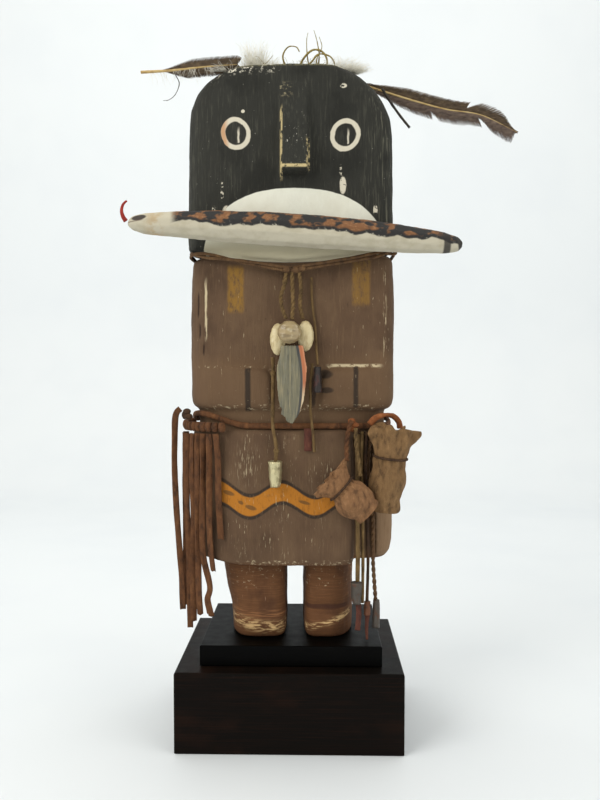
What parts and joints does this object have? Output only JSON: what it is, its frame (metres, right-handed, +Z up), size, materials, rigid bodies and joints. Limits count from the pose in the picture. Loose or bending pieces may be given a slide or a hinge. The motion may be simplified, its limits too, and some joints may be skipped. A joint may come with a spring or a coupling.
{
  "type": "kachina doll on a stand",
  "caption": "Carved wooden kachina doll with a snake held in its mouth, feathers, shell pendants, fringed belt and pouches, standing on a stepped wooden base.",
  "frame": {"origin": "centre of the base block's underside", "axes": "+Z up, the doll faces -Y, +X is towards the doll's own left"},
  "size_m": [0.3023, 0.1354, 0.5421],
  "materials": {
    "base_wood": "satin dark brown",
    "plinth_black": "satin black",
    "painted_carving": "matte worn paint",
    "painted_snake": "matte worn paint",
    "red_leather": "matte",
    "brown_feather": "soft sheen",
    "white_down": "soft matte",
    "plant_fibre": "matte",
    "quill": "satin",
    "brown_cord": "matte",
    "tan_thong": "matte",
    "belt_leather": "matte",
    "fringe_leather": "matte",
    "pouch_leather": "matte wrinkled",
    "cream_shell": "satin shell",
    "pearly_shell": "satin shell",
    "abalone": "glossy striated shell",
    "bright_tin": "worn bright",
    "dark_metal": "dull dark"
  },
  "bodies": {
    "root": {"base_block": "base_wood", "plinth": "plinth_black", "figure": "painted_carving", "snake": "painted_snake", "snake_tongue": "red_leather", "feather_left": "brown_feather", "feather_right": "brown_feather", "feather_quill_stub": "quill", "crown_down_left": "white_down", "crown_fibres": "plant_fibre", "crown_down_right": "white_down", "neck_cord": "brown_cord", "shell_middle": "pearly_shell", "shell_left": "cream_shell", "shell_right": "cream_shell", "abalone_pendant": "abalone", "kilt_cone": "bright_tin", "dark_tinkler": "dark_metal", "leather_tag": "red_leather", "belt": "belt_leather", "belt_knot_left": "belt_leather", "belt_twist": "belt_leather", "belt_loop_right": "belt_leather", "fringe_roll": "fringe_leather", "pouch_front": "pouch_leather", "pouch_side": "pouch_leather", "fringe_strip_1": "fringe_leather", "fringe_strip_2": "fringe_leather", "fringe_strip_3": "fringe_leather", "fringe_strip_4": "fringe_leather", "fringe_strip_5": "fringe_leather", "fringe_strip_6": "fringe_leather", "fringe_strip_7": "fringe_leather", "fringe_strip_8": "fringe_leather", "fringe_strip_9": "fringe_leather", "fringe_strip_loop": "fringe_leather", "pendant_thong_left": "tan_thong", "pendant_thong_middle": "tan_thong", "pendant_thong_right": "tan_thong", "chest_thong": "tan_thong", "long_thong": "tan_thong", "needle_thong": "tan_thong", "pouch_thong_a": "tan_thong", "pouch_thong_b": "tan_thong", "drop_thong_1": "tan_thong", "drop_thong_2": "tan_thong", "drop_thong_3": "brown_cord", "drop_thong_4": "brown_cord", "drop_cone_1": "dark_metal", "drop_cone_3": "dark_metal", "drop_cone_4": "dark_metal", "drop_tassel_1": "red_leather", "drop_tassel_3": "red_leather"}
  },
  "joints": []
}
